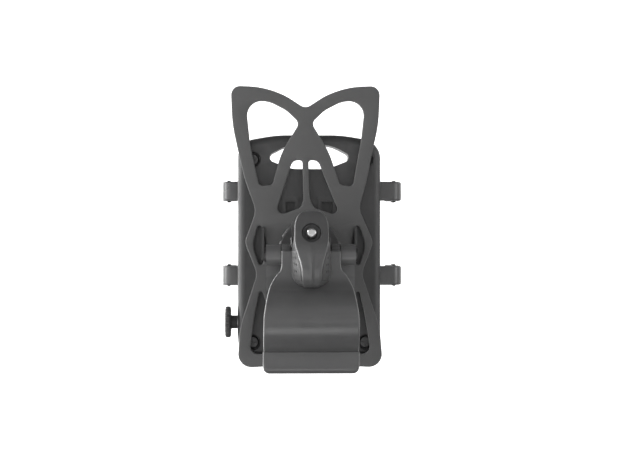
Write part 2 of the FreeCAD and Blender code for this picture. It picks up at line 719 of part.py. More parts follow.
# ---- sliding jaws and their drive ---------------------------------------------------------------
def make_jaw(side, out):
    """Sliding jaw: a plate inside the tray, two arms through its side and a hook on each."""
    inner = plate_in
    parts = [box(inner, inner + plate_w, slide_y0, slide_y1, drive_z - nut_r - 0.6, hook_zs[1] + arm_h / 2)]
    for z in hook_zs:
        low, high = z - arm_h / 2, z + arm_h / 2
        hook = prism_z([
            (inner + 1, slide_y1 - 0.3, 0), (inner + 1, hook_y0, 0), (out, hook_y0, 3.6), (out, hook_y1, 4.2),
            (out - hook_in, hook_y1, 1.1), (out - hook_in, hook_y1 - 2.4, 1.0),
            (out - hook_t, hook_y1 - hook_t, 1.5), (out - hook_t, slide_y1 - 0.3, 0.8),
        ], low, high)
        parts.append(hook)
    jaw = fuse(parts)
    jaw = jaw.cut(cyl(nut_r, V(inner - 1, drive_y, drive_z), X_AXIS, nut_len + 1))
    jaw = jaw.cut(cyl(drive_r + 0.3, V(inner - 1, drive_y, drive_z), X_AXIS, plate_w + 2))
    for z in guide_zs:
        jaw = jaw.cut(cyl(guide_r + running, V(inner - 1, drive_y, z), X_AXIS, plate_w + 2))
    return jaw if side > 0 else jaw.mirror(V(0, 0, 0), X_AXIS)


def make_jaw_nut(side):
    """Threaded insert of a sliding jaw."""
    nut = tube(drive_r + running, nut_r, V(plate_in, drive_y, drive_z), X_AXIS, nut_len)
    return nut if side > 0 else nut.mirror(V(0, 0, 0), X_AXIS)


def make_hook_pads(side, out):
    """Soft lining inside the hooks of one jaw."""
    pads = []
    inner = out - hook_t
    for z in hook_zs:
        y0, y1 = slide_y1 + 0.4, hook_y1 - 4.4
        pads.append(prism_z([(inner - hook_pad_t, y0, 0.5), (inner, y0, 0.5), (inner, y1, 0),
                             (inner - hook_pad_t, y1, 0.6)], z - hook_pad_h / 2, z + hook_pad_h / 2))
    both = Part.Compound(pads)
    return both if side > 0 else both.mirror(V(0, 0, 0), X_AXIS)


def make_lead_screw():
    """Screw with opposite threads on its two halves, and a journal at each end."""
    inside = tray_half - tray_wall
    parts = [
        cyl(drive_r, V(-inside, drive_y, drive_z), X_AXIS, 2 * inside - 0.8),
        cyl(journal_r, V(-tray_half, drive_y, drive_z), X_AXIS, tray_wall),
        cyl(stub_r, V(-tray_half - knob_gap - knob_t + 0.4, drive_y, drive_z), X_AXIS, knob_gap + knob_t),
        cyl(journal_r, V(inside - 1.4, drive_y, drive_z), X_AXIS, 2.4),
    ]
    return fuse(parts)


def make_knob():
    """Scalloped side knob with its hub."""
    x0 = -tray_half - knob_gap - knob_t
    knob = cyl(knob_r, V(x0, drive_y, drive_z), X_AXIS, knob_t)
    for k in range(knob_scallops):
        a = 2 * math.pi * k / knob_scallops
        r = knob_r + 0.25
        at = V(x0 - 1, drive_y + r * math.cos(a), drive_z + r * math.sin(a))
        knob = knob.cut(cyl(0.85, at, X_AXIS, knob_t + 2))
    knob = knob.fuse(cyl(journal_r, V(x0 + knob_t, drive_y, drive_z), X_AXIS, knob_gap)).removeSplitter()
    return knob.cut(cyl(stub_r, V(x0 + 0.4, drive_y, drive_z), X_AXIS, knob_t + knob_gap))


def make_bushes():
    """Plain bearings of the lead screw in the side walls."""
    outer = journal_r + running + bush_wall
    left = tube(journal_r + running, outer, V(-tray_half, drive_y, drive_z), X_AXIS, tray_wall)
    inside = tray_half - tray_wall
    right = tube(journal_r + running, outer, V(inside, drive_y, drive_z), X_AXIS, 1.1)
    return Part.Compound([left, right])


def make_guide_rods():
    """Steel rods that keep the sliding jaws square."""
    inside = tray_half - tray_wall
    return Part.Compound([cyl(guide_r, V(-inside, drive_y, z), X_AXIS, 2 * inside) for z in guide_zs])


# ---- build --------------------------------------------------------------------------------------
rear_jaw = make_rear_jaw()
finger_lever = make_finger_lever(rear_jaw)
tray_back = make_tray_back()
save(rear_jaw, "rear_jaw")
save(finger_lever, "finger_lever")
save(make_grip_inlays(finger_lever), "grip_inlays")
save(make_front_jaw(), "front_jaw")
save(make_bar_pad(180), "rear_pad")
save(make_bar_pad(0), "front_pad")
save(make_pin(), "hinge_pin")
save(make_pin_clips(), "pin_clips")
save(make_spring(), "jaw_spring")
save(make_rod(), "lock_rod")
save(make_wheel(), "lock_wheel")
save(make_foot(), "lock_foot")
save(make_ball_stud(), "ball_stud")
save(make_seat(True), "seat_rear")
save(make_seat(False), "seat_front")
save(make_socket(), "ball_socket")
save(make_socket_screws(), "socket_screws")
save(make_ring_nut(), "ring_nut")
save(tray_back, "tray_back")
save(make_tray_front(), "tray_front")
save(make_case_screws(), "case_screws")
save(make_phone_pad(), "phone_pad")
save(make_band(tray_back), "band")
save(make_bushes(), "screw_bushes")
save(make_guide_rods(), "guide_rods")
save(make_lead_screw(), "lead_screw")
save(make_knob(), "side_knob")
save(make_jaw(-1, left_out), "left_jaw")
save(make_jaw(1, right_out), "right_jaw")
save(make_jaw_nut(-1), "left_nut")
save(make_jaw_nut(1), "right_nut")
save(make_hook_pads(-1, left_out), "left_hook_pads")
save(make_hook_pads(1, right_out), "right_hook_pads")
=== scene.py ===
"""Looks of the phone handlebar mount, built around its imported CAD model.

Metres, in the CAD's own frame: X along the handlebar, +Y from the bar to the phone, +Z up, and the origin on
the bar's axis. Lengths below are written in millimetres and turned into metres by MM.
"""
import bpy
import bmesh
import json
import math
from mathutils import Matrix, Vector


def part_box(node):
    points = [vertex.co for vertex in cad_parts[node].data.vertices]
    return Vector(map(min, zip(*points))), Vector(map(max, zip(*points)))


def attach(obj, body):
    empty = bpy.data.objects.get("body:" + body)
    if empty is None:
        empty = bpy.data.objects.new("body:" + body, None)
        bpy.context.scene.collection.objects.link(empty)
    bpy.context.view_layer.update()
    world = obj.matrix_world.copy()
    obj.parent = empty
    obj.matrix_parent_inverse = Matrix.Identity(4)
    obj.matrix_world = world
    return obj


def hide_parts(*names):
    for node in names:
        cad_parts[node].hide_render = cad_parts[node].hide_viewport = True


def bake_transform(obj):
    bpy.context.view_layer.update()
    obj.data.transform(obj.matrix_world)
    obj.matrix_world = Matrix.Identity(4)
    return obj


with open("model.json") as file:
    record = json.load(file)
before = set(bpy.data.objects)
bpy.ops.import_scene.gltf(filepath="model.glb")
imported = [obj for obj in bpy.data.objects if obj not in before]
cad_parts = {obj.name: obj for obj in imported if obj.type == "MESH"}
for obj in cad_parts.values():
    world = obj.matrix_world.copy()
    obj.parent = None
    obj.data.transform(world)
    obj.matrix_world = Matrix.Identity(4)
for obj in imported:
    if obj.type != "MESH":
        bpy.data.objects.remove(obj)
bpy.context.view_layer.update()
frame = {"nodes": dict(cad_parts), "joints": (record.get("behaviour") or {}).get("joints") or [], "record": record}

MM = 0.001
nodes = frame["nodes"]


# ---- places read from the CAD -------------------------------------------------------------------
def low(node):
    """Lowest corner of a CAD node, in millimetres."""
    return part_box(node)[0] / MM


def high(node):
    """Highest corner of a CAD node, in millimetres."""
    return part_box(node)[1] / MM


def joint(name):
    """A joint of the record."""
    return [j for j in frame["joints"] if j["name"] == name][0]


tray_y = high("band").y                     # outer face of the tray's back
band_t = high("band").y - low("band").y
pin = Vector(joint("jaw_open")["pos_m"]) / MM
ball = Vector(joint("ball_tilt")["pos_m"]) / MM
rod_face = Vector(joint("lock_wheel_spin")["pos_m"]) / MM
rod_dir = Vector(joint("lock_wheel_spin")["axis"]).normalized()
drive = Vector(joint("knob_spin")["pos_m"]) / MM
bar_r = frame["record"]["mounts"][0]["dims"]["r_mm"]


# ---- node materials -----------------------------------------------------------------------------
def new_material(name):
    """An empty material with its shader, node tree and object coordinates."""
    mat = bpy.data.materials.new(name)
    mat.use_nodes = True
    tree = mat.node_tree
    shader = tree.nodes["Principled BSDF"]
    coords = tree.nodes.new("ShaderNodeTexCoord")
    return mat, tree, shader, coords.outputs["Object"]


def noise(tree, coords, size_mm, detail=3.0, rough=0.5):
    """Noise whose features are about size_mm across."""
    tex = tree.nodes.new("ShaderNodeTexNoise")
    tex.inputs["Scale"].default_value = 1.0 / (size_mm * MM)
    tex.inputs["Detail"].default_value = detail
    tex.inputs["Roughness"].default_value = rough
    tree.links.new(coords, tex.inputs["Vector"])
    return tex.outputs["Fac"]


def spread(tree, value, lowest, highest, start=0.3, end=0.7):
    """Maps a 0 to 1 value onto a range."""
    node = tree.nodes.new("ShaderNodeMapRange")
    node.inputs["From Min"].default_value = start
    node.inputs["From Max"].default_value = end
    node.inputs["To Min"].default_value = lowest
    node.inputs["To Max"].default_value = highest
    tree.links.new(value, node.inputs["Value"])
    return node.outputs["Result"]


def ramp(tree, value, stops):
    """Colour ramp through (position, grey level) or (position, colour) stops."""
    node = tree.nodes.new("ShaderNodeValToRGB")
    bar = node.color_ramp
    while len(bar.elements) < len(stops):
        bar.elements.new(0.5)
    for element, (at, colour) in zip(bar.elements, stops):
        element.position = at
        element.color = (*colour, 1.0) if hasattr(colour, "__len__") else (colour, colour, colour, 1.0)
    tree.links.new(value, node.inputs["Fac"])
    return node.outputs["Color"]


def mix(tree, factor, a, b):
    """Mixes two colours, each a socket or an (r, g, b). factor is a number or a socket."""
    node = tree.nodes.new("ShaderNodeMix")
    node.data_type = "RGBA"
    for socket, value in (("Factor", factor), ("A", a), ("B", b)):
        target = [s for s in node.inputs if s.name == socket and s.enabled][0]
        if hasattr(value, "is_output"):
            tree.links.new(value, target)
        elif hasattr(value, "__len__"):
            target.default_value = (*value, 1.0)
        else:
            target.default_value = value
    return [s for s in node.outputs if s.enabled][0]


def bump(tree, height, strength, distance_mm, below=None):
    """Bump node, stacked on another when below is given."""
    node = tree.nodes.new("ShaderNodeBump")
    node.inputs["Strength"].default_value = strength
    node.inputs["Distance"].default_value = distance_mm * MM
    tree.links.new(height, node.inputs["Height"])
    if below is not None:
        tree.links.new(below, node.inputs["Normal"])
    return node.outputs["Normal"]


def edges_of(tree):
    """0 on flat and hollow ground, 1 on convex edges."""
    geometry = tree.nodes.new("ShaderNodeNewGeometry")
    return spread(tree, geometry.outputs["Pointiness"], 0.0, 1.0, 0.52, 0.60)


def plastic(name, grey, rough, grain_mm=0.35, grain=0.25, gloss=0.5, rub=0.4, tint=(1.0, 1.0, 1.01)):
    """Moulded plastic: fine grain, faint flow marks and edges rubbed lighter."""
    mat, tree, shader, coords = new_material(name)
    flow = noise(tree, coords, 14.0, 4.0, 0.6)
    fine = noise(tree, coords, grain_mm, 2.0, 0.6)
    base = ramp(tree, flow, [(0.25, [grey * 0.9 * t for t in tint]), (0.75, [grey * 1.1 * t for t in tint])])
    rubbed = mix(tree, edges_of(tree), base, [grey * (1.0 + rub) * t for t in tint])
    tree.links.new(rubbed, shader.inputs["Base Color"])
    tree.links.new(spread(tree, noise(tree, coords, 9.0, 1.0, 0.5), rough - 0.03, rough + 0.04),
                   shader.inputs["Roughness"])
    shader.inputs["Specular IOR Level"].default_value = gloss
    low_bump = bump(tree, flow, 0.15, 0.25)
    tree.links.new(bump(tree, fine, grain, 0.05, low_bump), shader.inputs["Normal"])
    return mat


def rubber(name, grey, rough=0.8, sheen=0.25, grain_mm=0.22, grain=0.3):
    """Silicone or rubber: soft sheen, fine matte skin, faint handling marks."""
    mat, tree, shader, coords = new_material(name)
    cloud = noise(tree, coords, 22.0, 4.0, 0.55)
    tree.links.new(ramp(tree, cloud, [(0.3, grey * 0.94), (0.7, grey * 1.06)]), shader.inputs["Base Color"])
    tree.links.new(spread(tree, noise(tree, coords, 7.0, 4.0, 0.6), rough - 0.07, rough + 0.06),
                   shader.inputs["Roughness"])
    shader.inputs["Sheen Weight"].default_value = sheen
    shader.inputs["Sheen Roughness"].default_value = 0.5
    shader.inputs["Specular IOR Level"].default_value = 0.35
    ripple = bump(tree, cloud, 0.12, 0.4)
    fine = noise(tree, coords, grain_mm, 2.0, 0.5)
    tree.links.new(bump(tree, fine, grain, 0.03, ripple), shader.inputs["Normal"])
    return mat


def metal(name, grey, rough, tint=(1.0, 1.0, 1.0)):
    """Plated or turned metal, with fine marks in its colour, gloss and surface."""
    mat, tree, shader, coords = new_material(name)
    marks = noise(tree, coords, 0.5, 4.0, 0.7)
    dark, light = [grey * 0.85 * t for t in tint], [grey * 1.08 * t for t in tint]
    tree.links.new(ramp(tree, marks, [(0.3, dark), (0.7, light)]), shader.inputs["Base Color"])
    shader.inputs["Metallic"].default_value = 1.0
    tree.links.new(spread(tree, marks, rough - 0.05, rough + 0.1), shader.inputs["Roughness"])
    tree.links.new(bump(tree, marks, 0.2, 0.02), shader.inputs["Normal"])
    return mat


MATERIALS = {
    "shell": plastic("shell_plastic", 0.046, 0.44, grain_mm=0.4, grain=0.3, gloss=0.5),
    "jaw": plastic("jaw_plastic", 0.078, 0.31, grain_mm=0.5, grain=0.05, gloss=0.75),
    "lever": plastic("lever_plastic", 0.080, 0.32, grain_mm=0.5, grain=0.05, gloss=0.65),
    "hook": plastic("hook_plastic", 0.075, 0.3, grain_mm=0.5, grain=0.05, gloss=0.7),
    "knob": plastic("knob_plastic", 0.055, 0.5, grain_mm=0.3, grain=0.2),
    "band": rubber("band_silicone", 0.108, 0.78),
    "pad": rubber("pad_rubber", 0.045, 0.85, sheen=0.1, grain=0.5),
    "inlay": rubber("inlay_rubber", 0.05, 0.6, sheen=0.1, grain=0.4),
    "steel": metal("plated_steel", 0.62, 0.26),
    "dark": metal("blackened_steel", 0.1, 0.38),
    "rod": metal("rod_steel", 0.75, 0.14),
    "ball": metal("polished_steel", 0.7, 0.1),
    "brass": metal("machined_brass", 0.75, 0.3, tint=(1.0, 0.76, 0.42)),
    "acetal": plastic("acetal", 0.55, 0.45, grain=0.1, rub=0.1),
}


def paint(obj, material):
    """One material on a piece."""
    obj.data.materials.clear()
    obj.data.materials.append(MATERIALS[material])
    return obj


# ---- mesh helpers -------------------------------------------------------------------------------
def add_object(name, bm, angle=35.0):
    """Turns a bmesh in millimetres into a smooth-shaded object in metres."""
    bmesh.ops.recalc_face_normals(bm, faces=bm.faces)
    for v in bm.verts:
        v.co *= MM
    data = bpy.data.meshes.new(name)
    bm.to_mesh(data)
    bm.free()
    obj = bpy.data.objects.new(name, data)
    bpy.context.scene.collection.objects.link(obj)
    shade(obj, angle)
    return obj


def shade(obj, angle=35.0):
    """Smooth shading, with edges sharper than the angle kept crisp."""
    obj.data.shade_smooth()
    obj.data.set_sharp_from_angle(angle=math.radians(angle))


def apply_modifiers(obj):
    """Bakes the object's modifiers into its mesh."""
    graph = bpy.context.evaluated_depsgraph_get()
    data = bpy.data.meshes.new_from_object(obj.evaluated_get(graph))
    old = obj.data
    obj.modifiers.clear()
    obj.data = data
    bpy.data.meshes.remove(old)


def smooth_path(points, count):
    """count points on a Catmull-Rom curve through points (tuples of any length)."""
    pts = [points[0]] + list(points) + [points[-1]]
    out = []
    spans = len(points) - 1
    for i in range(count):
        u = spans * i / (count - 1)
        k = min(int(u), spans - 1)
        t = u - k
        a, b, c, d = pts[k], pts[k + 1], pts[k + 2], pts[k + 3]
        out.append(tuple(0.5 * (2 * q + (r - p) * t + (2 * p - 5 * q + 4 * r - s) * t * t
                                + (3 * q - p - 3 * r + s) * t ** 3) for p, q, r, s in zip(a, b, c, d)))
    return out


def at_height(table, z, column):
    """Smooth value of a column of a table whose first column rises."""
    if z <= table[0][0]:
        return table[0][column]
    if z >= table[-1][0]:
        return table[-1][column]
    k = max(i for i in range(len(table)) if table[i][0] <= z)
    a, b = table[k], table[k + 1]

    def slope(i):
        if i == 0 or i == len(table) - 1:
            return 0.0
        before = (table[i][column] - table[i - 1][column]) / (table[i][0] - table[i - 1][0])
        after = (table[i + 1][column] - table[i][column]) / (table[i + 1][0] - table[i][0])
        return 0.0 if before * after <= 0 else 2 * before * after / (before + after)

    h = b[0] - a[0]
    t = (z - a[0]) / h
    return ((2 * t ** 3 - 3 * t * t + 1) * a[column] + (t ** 3 - 2 * t * t + t) * h * slope(k)
            + (3 * t * t - 2 * t ** 3) * b[column] + (t ** 3 - t * t) * h * slope(k + 1))


def round_rect(half_w, half_t, r, steps):
    """Points of a rounded rectangle, anticlockwise."""
    r = max(min(r, half_w * 0.999, half_t * 0.999), 1e-4)
    points = []
    for sx, sy, start in ((1, 1, 0), (-1, 1, 90), (-1, -1, 180), (1, -1, 270)):
        for k in range(steps + 1):
            a = math.radians(start + 90 * k / steps)
            points.append((sx * (half_w - r) + r * math.cos(a), sy * (half_t - r) + r * math.sin(a)))
    return points


def bar_along(bm, path, side, half_w, half_t, r, steps=4, caps=4):
    """Bar with rounded edges and ends along a path. half_w and half_t are numbers or one value per point."""
    n = len(path)
    path = [Vector(p) for p in path]
    side = Vector(side)
    widths = half_w if hasattr(half_w, "__len__") else [half_w] * n
    depths = half_t if hasattr(half_t, "__len__") else [half_t] * n
    rings = []
    for i in range(n):
        t = (path[min(i + 1, n - 1)] - path[max(i - 1, 0)]).normalized()
        rings.append((path[i], t, widths[i], depths[i], 0.0))
    (p0, t0, w0, d0, _), (p1, t1, w1, d1, _) = rings[0], rings[-1]
    for k in range(1, caps + 1):
        a = math.radians(90.0 * k / caps)
        inset, move = r * (1 - math.cos(a)), r * math.sin(a)
        rings.insert(0, (p0 - t0 * move, t0, w0, d0, inset))
        rings.append((p1 + t1 * move, t1, w1, d1, inset))
    loops = []
    for p, t, w, d, inset in rings:
        across = (side - t * side.dot(t)).normalized()
        out = across.cross(t)
        outline = round_rect(w - inset, d - inset, max(r - inset, 0.02), steps)
        loops.append([bm.verts.new(p + across * u + out * v) for u, v in outline])
    skin(bm, loops)


def skin(bm, loops):
    """Quads between rings of vertices, and a face on each end."""
    m = len(loops[0])
    for a, b in zip(loops, loops[1:]):
        for k in range(m):
            bm.faces.new((a[k], a[(k + 1) % m], b[(k + 1) % m], b[k]))
    bm.faces.new(list(reversed(loops[0])))
    bm.faces.new(loops[-1])


def lathe(bm, profile, origin, axis, count=64):
    """Solid turned about an axis. profile holds (distance along the axis, radius), from end to end."""
    axis = Vector(axis).normalized()
    u = axis.orthogonal().normalized()
    v = axis.cross(u)
    loops = []
    for s, r in profile:
        centre = Vector(origin) + axis * s
        loops.append([bm.verts.new(centre + (u * math.cos(2 * math.pi * k / count)
                                             + v * math.sin(2 * math.pi * k / count)) * max(r, 0.01))
                      for k in range(count)])
    skin(bm, loops)


# ---- silicone band ------------------------------------------------------------------------------
# corners of the right half as drawn flat: across, height, corner radius
BAND_HALF = [(0, 90.9, 4), (9.0, 96.8, 30), (19.0, 100.6, 40), (33.2, 101.1, 4.0), (32.5, 84.0, 60),
             (27.0, 59.0, 40), (22.9, 46.0, 9), (28.6, 31.6, 6), (23.2, 17.6, 8), (31.0, -6.0, 40),
             (32.4, -24.2, 5.8), (18.0, -23.6, 30), (0, -17.0, 8)]
BAND_HOLES = [
    [(2.6, 84.6, 3.0), (8.5, 90.2, 12), (16.0, 94.1, 14), (26.7, 94.9, 6.5), (24.7, 76.0, 40),
     (20.8, 56.4, 2.0), (15.0, 57.0, 2.0), (10.6, 71.6, 40)],
    [(1.35, 68.0, 1.2), (5.6, 68.0, 3.0), (14.9, 42.6, 2.4), (2.9, 46.9, 3.0), (1.35, 51.0, 6)],
    [(21.7, 41.5, 1.0), (25.2, 30.2, 10), (21.4, 19.0, 1.0), (18.6, 30.5, 10)],
    [(21.6, 12.4, 0.9), (24.7, -2.0, 20), (27.0, -18.2, 3.4), (14.0, -18.0, 3.0), (9.0, -12.5, 3),
     (19.2, 4.0, 20)],
]
# how far the relaxed band stands off the middle: height, shift to the right
BAND_LEAN = [(-24, 0.4), (10, 0.1), (30, -0.1), (40, -0.4), (50, -1.1), (60, -1.5), (72, -1.75), (84, -1.7),
             (102, -1.7)]


def rounded_outline(corners, step=0.7):
    """Points of a closed outline through (u, v, radius) corners, each corner an arc."""
    out = []
    n = len(corners)
    for i in range(n):
        u, v, r = corners[i]
        here = Vector((u, v))
        before = Vector(corners[i - 1][:2]) - here
        after = Vector(corners[(i + 1) % n][:2]) - here
        turn = before.angle(after)
        reach = r / math.tan(turn / 2)
        before.normalize()
        after.normalize()
        middle = (before + after).normalized()
        centre = here + middle * (r / math.sin(turn / 2))
        first = here + before * reach - centre
        sweep = math.pi - turn
        if first.cross(here + after * reach - centre) < 0:
            sweep = -sweep
        count = max(3, int(abs(sweep) * r / step) + 2)
        for k in range(count + 1):
            a = sweep * k / count
            out.append(centre + Vector((first.x * math.cos(a) - first.y * math.sin(a),
                                        first.x * math.sin(a) + first.y * math.cos(a))))
    return out


def spaced(points, step):
    """The same closed outline with points no further apart than step."""
    out = []
    for a, b in zip(points, points[1:] + points[:1]):
        count = max(1, int((b - a).length / step))
        out.extend(a.lerp(b, k / count) for k in range(count))
    return out


def make_band():
    """Silicone band with rolled edges, leaning a little and relaxed out of true."""
    view = BAND_HALF + [(-u, v, r) for u, v, r in reversed(BAND_HALF[1:-1])]
    outlines = [rounded_outline(view)]
    for hole in BAND_HOLES:
        outlines.append(rounded_outline(hole))
        outlines.append(rounded_outline([(-u, v, r) for u, v, r in reversed(hole)]))
    neck_hole_r = 0.72 * (high("ball_socket").x - low("ball_socket").x) / 2
    outlines.append([Vector((neck_hole_r * math.cos(a), ball.z + neck_hole_r * math.sin(a)))
                     for a in (2 * math.pi * k / 64 for k in range(64))])
    curve = bpy.data.curves.new("band_outline", "CURVE")
    curve.dimensions = "2D"
    curve.fill_mode = "BOTH"
    edge = 0.45
    curve.extrude = band_t / 2 - edge
    curve.bevel_depth = edge
    curve.bevel_resolution = 4
    curve.offset = -edge
    for points in outlines:
        points = spaced(points, 1.2)
        spline = curve.splines.new("POLY")
        spline.points.add(len(points) - 1)
        for p, q in zip(spline.points, points):
            p.co = (q.x, q.y, 0, 1)
        spline.use_cyclic_u = True
    flat = bpy.data.objects.new("band_flat", curve)
    bpy.context.scene.collection.objects.link(flat)
    data = bpy.data.meshes.new_from_object(flat.evaluated_get(bpy.context.evaluated_depsgraph_get()))
    bpy.data.objects.remove(flat)
    bm = bmesh.new()
    bm.from_mesh(data)
    bmesh.ops.remove_doubles(bm, verts=bm.verts, dist=0.01)
    for v in bm.verts:
        x, z, depth = v.co.x, v.co.y, v.co.z
        v.co = Vector((x + at_height(BAND_LEAN, z, 1), tray_y - band_t / 2 - depth, z))
    return add_object("silicone_band", bm, 30)


# ---- clip ---------------------------------------------------------------------------------------
pad_out_r = -low("rear_pad").y
jaw_out_r = -low("rear_jaw").y
jaw_wall = jaw_out_r - pad_out_r
jaw_mid_r = (jaw_out_r + pad_out_r) / 2
neck_y = -6.05                       # middle of the neck's wall
rear_angle = 62.5                    # how far the rear jaw wraps below the bar's middle, in degrees
JAW_WIDTHS = [(-14, 19.9), (0, 19.75), (4, 19.3), (9.3, 18.3), (12.4, 17.5), (15.2, 16.3), (17.9, 14.7),
              (20.0, 13.0), (22.0, 12.45), (29, 12.45)]


def rear_jaw_path(neck):
    """Middle line of the rear jaw's plate, from the neck's top to the lip."""
    top = smooth_path(neck, 26)
    start = math.degrees(math.atan2(neck[-1][1], abs(neck[-1][0])))
    end = -rear_angle - 0.5
    arc = []
    steps = 44
    for k in range(1, steps + 1):
        a = math.radians(start + (end - start) * k / steps)
        arc.append((-jaw_mid_r * math.cos(a), jaw_mid_r * math.sin(a)))
    return [(0, y, z) for y, z in top + arc]


def make_lip(bm, half, far_y, depth, top, bottom, corner):
    """Thick edge under the rear jaw: flat face, rolled underside, rounded lower corners."""
    edge = 0.5
    stations = [(-half + edge * (1 - math.cos(math.radians(a))), edge * (1 - math.sin(math.radians(a))))
                for a in (0, 30, 60, 90)]
    stations += [(-half + corner * t, 0.0) for t in (0.35, 0.5, 0.7, 1.0)]
    stations += [(-half * 0.4, 0.0)]
    stations = stations + [(-x, inset) for x, inset in reversed(stations)]
    loops = []
    for x, inset in stations:
        reach = max(0.0, abs(x) - (half - corner)) / corner
        floor = bottom + corner * (1 - math.sqrt(max(0.0, 1 - min(reach, 0.999) ** 2)))
        face, back = far_y + inset, far_y + depth - inset
        ceiling = top - inset * 0.3
        corners = [(face, ceiling, 0.45), (face, floor + inset, 2.9), (back, floor + inset, 1.8),
                   (back, ceiling, 0.5)]
        loops.append([bm.verts.new((x, y, z)) for y, z in soft_corners(corners, 5)])
    skin(bm, loops)


def soft_corners(corners, steps):
    """Closed polygon whose corners are rounded by their radius, with the same number of points each time."""
    out = []
    n = len(corners)
    for i in range(n):
        u, v, r = corners[i]
        here = Vector((u, v))
        before = Vector(corners[i - 1][:2]) - here
        after = Vector(corners[(i + 1) % n][:2]) - here
        r1 = min(r, before.length * 0.48)
        r2 = min(r, after.length * 0.48)
        a, c = here + before.normalized() * r1, here + after.normalized() * r2
        for k in range(steps + 1):
            t = k / steps
            out.append(a * (1 - t) ** 2 + here * 2 * t * (1 - t) + c * t * t)
    return out


def make_rear_jaw():
    """Bulged jaw: a plate that flares from its neck, a lip below and two hinge lugs inside the neck."""
    bm = bmesh.new()
    neck = [(neck_y, 27.7), (neck_y, 24.0), (neck_y, 20.6), (-6.3, 17.4), (-7.3, 14.4), (-9.1, 11.4)]
    path = rear_jaw_path(neck)
    widths = [at_height(JAW_WIDTHS, p[2], 1) for p in path]
    bar_along(bm, path, (1, 0, 0), widths, jaw_wall / 2, 0.7, steps=5, caps=4)
    lip_y = -jaw_out_r * math.cos(math.radians(rear_angle)) - 0.15
    lip_z = -jaw_out_r * math.sin(math.radians(rear_angle)) + 0.1
    lip_depth, lip_corner = 5.1, 2.7
    make_lip(bm, high("rear_jaw").x, lip_y, lip_depth, lip_z, low("rear_jaw").z, lip_corner)
    lug = [(0, 3.7), (0.15, 4.05), (0.5, 4.2), (3.35, 4.2), (3.7, 4.05), (3.85, 3.7)]
    lug_middle = 1.92
    for x0 in (-12.45, 8.6):
        lathe(bm, lug, (x0, pin.y, pin.z), (1, 0, 0), 48)
        foot = [(x0 + lug_middle, -5.2, 24.3), (x0 + lug_middle, -2.0, 24.9)]
        bar_along(bm, foot, (1, 0, 0), 1.9, 1.9, 0.4)
    return add_object("rear_jaw_shell", bm)


NOSE = [
    # height, front, rear, half width in front, half width behind
    (13.3, -12.2, -10.4, 2.2, 3.2), (13.9, -13.7, -9.4, 2.9, 4.6), (15.0, -15.0, -8.6, 3.3, 6.6),
    (16.5, -16.1, -8.0, 3.5, 7.9), (19.0, -17.1, -7.5, 3.55, 8.6), (23.0, -17.9, -7.3, 4.2, 8.65),
    (27.0, -18.0, -7.0, 5.5, 8.4), (30.5, -17.1, -6.2, 6.6, 7.9), (33.5, -15.7, -4.9, 7.0, 7.3),
    (38.5, -13.1, -4.4, 6.95, 7.0), (41.5, -11.5, -4.4, 6.3, 6.4), (43.5, -10.3, -4.6, 5.1, 5.2),
    (44.6, -9.3, -5.2, 3.6, 3.7), (45.0, -8.4, -6.2, 2.0, 2.1),
]


def nose_section(z):
    """One level outline of the finger lever: front face with a faint ridge, two flanks, flat back."""
    front, rear, wf, wr = (at_height(NOSE, z, c) for c in (1, 2, 3, 4))
    edge, back_edge = min(0.6, wf * 0.3), min(1.2, wr * 0.3)
    points = []
    spans = 12
    ridge = 0.35 * max(0.0, min(1.0, (z - 14.0) / 3.0, (32.0 - z) / 3.0))
    for k in range(spans + 1):
        u = -1 + 2 * k / spans
        crown = 0.25 * (1 - u * u) + ridge * max(0.0, 1 - 3.0 * abs(u))
        points.append(Vector((u * (wf - edge), front - crown)))
    for corner, before, after, r in (((wf, front), (wf - 1, front), (wr, rear), edge),
                                     ((wr, rear), (wf, front), (0, rear), back_edge),
                                     ((-wr, rear), (0, rear), (-wf, front), back_edge),
                                     ((-wf, front), (-wr, rear), (-wf + 1, front), edge)):
        here = Vector(corner)
        a = here + (Vector(before) - here).normalized() * r
        c = here + (Vector(after) - here).normalized() * r
        for k in range(1, 6):
            t = k / 6
            points.append(a * (1 - t) ** 2 + here * 2 * t * (1 - t) + c * t * t)
    return [Vector((p.x, p.y, z)) for p in points]


def cut(obj, tool):
    """Cuts a closed mesh out of another and removes the tool."""
    mod = obj.modifiers.new("cut", "BOOLEAN")
    mod.operation = "DIFFERENCE"
    mod.solver = "EXACT"
    mod.object = tool
    apply_modifiers(obj)
    bpy.data.objects.remove(tool)


def make_finger_lever():
    """Nose-shaped lever with the rod's recess and a rolled rim around it."""
    bm = bmesh.new()
    heights = [13.3 + 0.35 * k for k in range(91)]
    heights = [z for z in heights if z < 44.9] + [44.95]
    skin(bm, [[bm.verts.new(p) for p in nose_section(z)] for z in heights])
    nose = add_object("finger_lever_shell", bm, 28)
    bm = bmesh.new()
    hole_r = 4.05
    lathe(bm, [(-8, hole_r), (3.4, hole_r), (3.8, hole_r - 0.4)], rod_face, rod_dir, 72)
    cut(nose, add_object("hole_tool", bm))
    bm = bmesh.new()
    hub_r = 3.6
    lathe(bm, [(6.2, hub_r), (16.0, hub_r)], rod_face, rod_dir, 48)
    cut(nose, add_object("hub_tool", bm))
    mod = nose.modifiers.new("edge", "BEVEL")
    mod.width = 0.22 * MM
    mod.segments = 3
    mod.limit_method = "ANGLE"
    mod.angle_limit = math.radians(40)
    apply_modifiers(nose)
    shade(nose, 32)
    return nose


def flank_point(side, z, t, lift):
    """Point on the lever's flank: t runs from its front edge to its rear edge, lift mm off the surface."""
    front, rear, wf, wr = (at_height(NOSE, z, c) for c in (1, 2, 3, 4))
    a, b = Vector((side * wf, front, z)), Vector((side * wr, rear, z))
    d = b - a
    out = Vector((d.y, -d.x, 0)).normalized() * side
    if out.x * side < 0:
        out = -out
    return a.lerp(b, t) + out * lift


